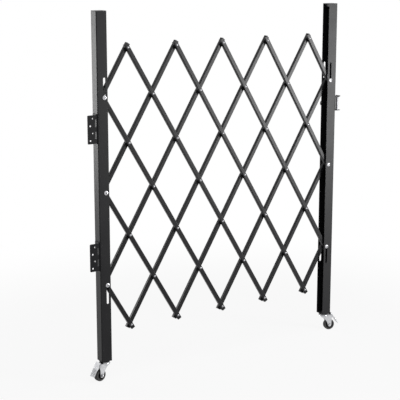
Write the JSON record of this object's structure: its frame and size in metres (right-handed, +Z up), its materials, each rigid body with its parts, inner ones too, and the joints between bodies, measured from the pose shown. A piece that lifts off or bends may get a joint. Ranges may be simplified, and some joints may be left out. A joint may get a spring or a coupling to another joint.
{
  "type": "expandable safety barrier",
  "caption": "Folding scissor lattice of riveted channel arms between two channel posts, hinged to a wall on one side and rolling on locking casters.",
  "frame": {"origin": "middle of the upper wall leaf's screw face, where it meets the wall", "axes": "+Z up, +X from the hinged post to the free post, -Y to the front"},
  "size_m": [1.2977, 0.0697, 1.524],
  "materials": {
    "black_powder_coat": "semi-gloss black powder coat on formed steel",
    "dark_steel": "satin black painted steel plate",
    "bright_zinc": "bright zinc plated steel",
    "black_plastic": "black moulded plastic",
    "tyre_rubber": "black rubber",
    "hub_plastic": "grey moulded plastic"
  },
  "bodies": {
    "wall_leaves": {"hinge_upper_wall_leaf": "dark_steel", "hinge_lower_wall_leaf": "dark_steel", "hinge_upper_pin": "bright_zinc", "hinge_lower_pin": "bright_zinc"},
    "left_post": {"post_left": "black_powder_coat", "cap_left": "black_plastic", "foot_left": "black_powder_coat", "bolt_left_middle": "bright_zinc", "nut_left_middle": "bright_zinc", "hinge_upper_post_leaf": "dark_steel", "hinge_lower_post_leaf": "dark_steel", "caster_left_stem": "bright_zinc", "caster_left_race": "bright_zinc"},
    "rear_arm_1": {"rear_arm_1": "black_powder_coat"},
    "rear_arm_2": {"rear_arm_2": "black_powder_coat"},
    "rear_arm_3": {"rear_arm_3": "black_powder_coat", "bolt_left_lower": "bright_zinc", "nut_left_lower": "bright_zinc"},
    "rear_arm_4": {"rear_arm_4": "black_powder_coat"},
    "rear_arm_5": {"rear_arm_5": "black_powder_coat"},
    "rear_arm_6": {"rear_arm_6": "black_powder_coat", "bolt_right_upper": "bright_zinc", "nut_right_upper": "bright_zinc"},
    "rear_arm_7": {"rear_arm_7": "black_powder_coat"},
    "rear_arm_8": {"rear_arm_8": "black_powder_coat"},
    "front_arm_1": {"front_arm_1": "black_powder_coat"},
    "front_arm_2": {"front_arm_2": "black_powder_coat"},
    "front_arm_3": {"front_arm_3": "black_powder_coat", "bolt_right_lower": "bright_zinc", "nut_right_lower": "bright_zinc"},
    "front_arm_4": {"front_arm_4": "black_powder_coat"},
    "front_arm_5": {"front_arm_5": "black_powder_coat"},
    "front_arm_6": {"front_arm_6": "black_powder_coat", "bolt_left_upper": "bright_zinc", "nut_left_upper": "bright_zinc"},
    "front_arm_7": {"front_arm_7": "black_powder_coat"},
    "front_arm_8": {"front_arm_8": "black_powder_coat"},
    "right_post": {"post_right": "black_powder_coat", "cap_right": "black_plastic", "foot_right": "black_powder_coat", "bolt_right_middle": "bright_zinc", "nut_right_middle": "bright_zinc", "strike_bracket": "dark_steel", "strike_rod": "bright_zinc", "caster_right_stem": "bright_zinc", "caster_right_race": "bright_zinc"},
    "thumb_knob": {"thumb_knob": "black_plastic"},
    "caster_left_swivel": {"caster_left_fork": "bright_zinc", "caster_left_axle": "bright_zinc"},
    "caster_left_wheel": {"caster_left_hub": "hub_plastic", "caster_left_tyre": "tyre_rubber"},
    "caster_left_pedal": {"caster_left_pedal": "bright_zinc", "caster_left_shoe": "tyre_rubber"},
    "caster_right_swivel": {"caster_right_fork": "bright_zinc", "caster_right_axle": "bright_zinc"},
    "caster_right_wheel": {"caster_right_hub": "hub_plastic", "caster_right_tyre": "tyre_rubber"},
    "caster_right_pedal": {"caster_right_pedal": "bright_zinc", "caster_right_shoe": "tyre_rubber"}
  },
  "joints": [
    {"name": "post_swing", "type": "hinge", "parent": "wall_leaves", "child": "left_post", "pos_m": [0.0291, 0.003, 0], "axis": [0, 0, 1], "range_deg": [-90, 88]},
    {"name": "lattice_fold", "type": "hinge", "parent": "left_post", "child": "rear_arm_2", "pos_m": [0.0641, 0.033, -0.264], "axis": [0, -1, 0], "range_deg": [0, 25.3]},
    {"name": "front_arm_7_turn", "type": "hinge", "parent": "left_post", "child": "front_arm_7", "pos_m": [0.0641, 0.033, -0.264], "axis": [0, -1, 0], "range_deg": [-25.3, 0]},
    {"name": "front_arm_6_turn", "type": "hinge", "parent": "rear_arm_2", "child": "front_arm_6", "pos_m": [0.17764, 0.033, -0.07125], "axis": [0, -1, 0], "range_deg": [-50.6, 0]},
    {"name": "front_arm_1_turn", "type": "hinge", "parent": "rear_arm_2", "child": "front_arm_1", "pos_m": [0.29117, 0.033, 0.12149], "axis": [0, -1, 0], "range_deg": [-50.6, 0]},
    {"name": "front_arm_2_turn", "type": "hinge", "parent": "rear_arm_2", "child": "front_arm_2", "pos_m": [0.40471, 0.033, 0.31424], "axis": [0, -1, 0], "range_deg": [-50.6, 0]},
    {"name": "rear_arm_3_turn", "type": "hinge", "parent": "front_arm_7", "child": "rear_arm_3", "pos_m": [0.17764, 0.033, -0.45675], "axis": [0, -1, 0], "range_deg": [0, 50.6]},
    {"name": "rear_arm_4_turn", "type": "hinge", "parent": "front_arm_7", "child": "rear_arm_4", "pos_m": [0.29117, 0.033, -0.64949], "axis": [0, -1, 0], "range_deg": [0, 50.6]},
    {"name": "rear_arm_5_turn", "type": "hinge", "parent": "front_arm_7", "child": "rear_arm_5", "pos_m": [0.40471, 0.033, -0.84224], "axis": [0, -1, 0], "range_deg": [0, 50.6]},
    {"name": "rear_arm_1_turn", "type": "hinge", "parent": "front_arm_6", "child": "rear_arm_1", "pos_m": [0.0641, 0.033, 0.12149], "axis": [0, -1, 0], "range_deg": [0, 50.6]},
    {"name": "front_arm_8_turn", "type": "hinge", "parent": "rear_arm_4", "child": "front_arm_8", "pos_m": [0.17764, 0.033, -0.84224], "axis": [0, -1, 0], "range_deg": [-50.6, 0]},
    {"name": "rear_arm_6_turn", "type": "hinge", "parent": "front_arm_2", "child": "rear_arm_6", "pos_m": [0.85885, 0.033, -0.45675], "axis": [0, -1, 0], "range_deg": [0, 50.6]},
    {"name": "rear_arm_7_turn", "type": "hinge", "parent": "front_arm_2", "child": "rear_arm_7", "pos_m": [0.97239, 0.033, -0.64949], "axis": [0, -1, 0], "range_deg": [0, 50.6]},
    {"name": "rear_arm_8_turn", "type": "hinge", "parent": "front_arm_2", "child": "rear_arm_8", "pos_m": [1.08593, 0.033, -0.84224], "axis": [0, -1, 0], "range_deg": [0, 50.6]},
    {"name": "front_arm_3_turn", "type": "hinge", "parent": "rear_arm_5", "child": "front_arm_3", "pos_m": [0.85885, 0.033, -0.07125], "axis": [0, -1, 0], "range_deg": [-50.6, 0]},
    {"name": "front_arm_4_turn", "type": "hinge", "parent": "rear_arm_5", "child": "front_arm_4", "pos_m": [0.97239, 0.033, 0.12149], "axis": [0, -1, 0], "range_deg": [-50.6, 0]},
    {"name": "front_arm_5_turn", "type": "hinge", "parent": "rear_arm_5", "child": "front_arm_5", "pos_m": [1.08593, 0.033, 0.31424], "axis": [0, -1, 0], "range_deg": [-50.6, 0]},
    {"name": "right_post_turn", "type": "hinge", "parent": "front_arm_4", "child": "right_post", "pos_m": [1.19946, 0.033, -0.264], "axis": [0, -1, 0], "range_deg": [0, 25.3]},
    {"name": "thumb_knob_turn", "type": "hinge", "parent": "right_post", "child": "thumb_knob", "pos_m": [1.19946, 0.0559, 0.013], "axis": [0, 1, 0], "range_deg": [0, 90]},
    {"name": "caster_left_swivel", "type": "hinge", "parent": "left_post", "child": "caster_left_swivel", "pos_m": [0.0554, 0.033, -1.061], "axis": [0, 0, 1], "continuous": true},
    {"name": "caster_left_spin", "type": "hinge", "parent": "caster_left_swivel", "child": "caster_left_wheel", "pos_m": [0.0292, 0.02647, -1.0355], "axis": [0.2419, -0.9703, 0], "continuous": true},
    {"name": "caster_left_brake", "type": "hinge", "parent": "caster_left_swivel", "child": "caster_left_pedal", "pos_m": [0.02629, 0.02574, -0.99175], "axis": [0.2419, -0.9703, 0], "range_deg": [0, 12]},
    {"name": "caster_right_swivel", "type": "hinge", "parent": "right_post", "child": "caster_right_swivel", "pos_m": [1.20816, 0.033, -1.061], "axis": [0, 0, 1], "continuous": true},
    {"name": "caster_right_spin", "type": "hinge", "parent": "caster_right_swivel", "child": "caster_right_wheel", "pos_m": [1.23412, 0.02556, -1.0355], "axis": [0.2756, 0.9613, 0], "continuous": true},
    {"name": "caster_right_brake", "type": "hinge", "parent": "caster_right_swivel", "child": "caster_right_pedal", "pos_m": [1.237, 0.02473, -0.99175], "axis": [0.2756, 0.9613, 0], "range_deg": [0, 12]}
  ],
  "couplings": [
    {"joint": "front_arm_7_turn", "follows": "lattice_fold", "ratio": -1},
    {"joint": "front_arm_6_turn", "follows": "lattice_fold", "ratio": -2},
    {"joint": "front_arm_1_turn", "follows": "lattice_fold", "ratio": -2},
    {"joint": "front_arm_2_turn", "follows": "lattice_fold", "ratio": -2},
    {"joint": "rear_arm_3_turn", "follows": "lattice_fold", "ratio": 2},
    {"joint": "rear_arm_4_turn", "follows": "lattice_fold", "ratio": 2},
    {"joint": "rear_arm_5_turn", "follows": "lattice_fold", "ratio": 2},
    {"joint": "rear_arm_1_turn", "follows": "lattice_fold", "ratio": 2},
    {"joint": "front_arm_8_turn", "follows": "lattice_fold", "ratio": -2},
    {"joint": "rear_arm_6_turn", "follows": "lattice_fold", "ratio": 2},
    {"joint": "rear_arm_7_turn", "follows": "lattice_fold", "ratio": 2},
    {"joint": "rear_arm_8_turn", "follows": "lattice_fold", "ratio": 2},
    {"joint": "front_arm_3_turn", "follows": "lattice_fold", "ratio": -2},
    {"joint": "front_arm_4_turn", "follows": "lattice_fold", "ratio": -2},
    {"joint": "front_arm_5_turn", "follows": "lattice_fold", "ratio": -2},
    {"joint": "right_post_turn", "follows": "lattice_fold", "ratio": 1}
  ]
}
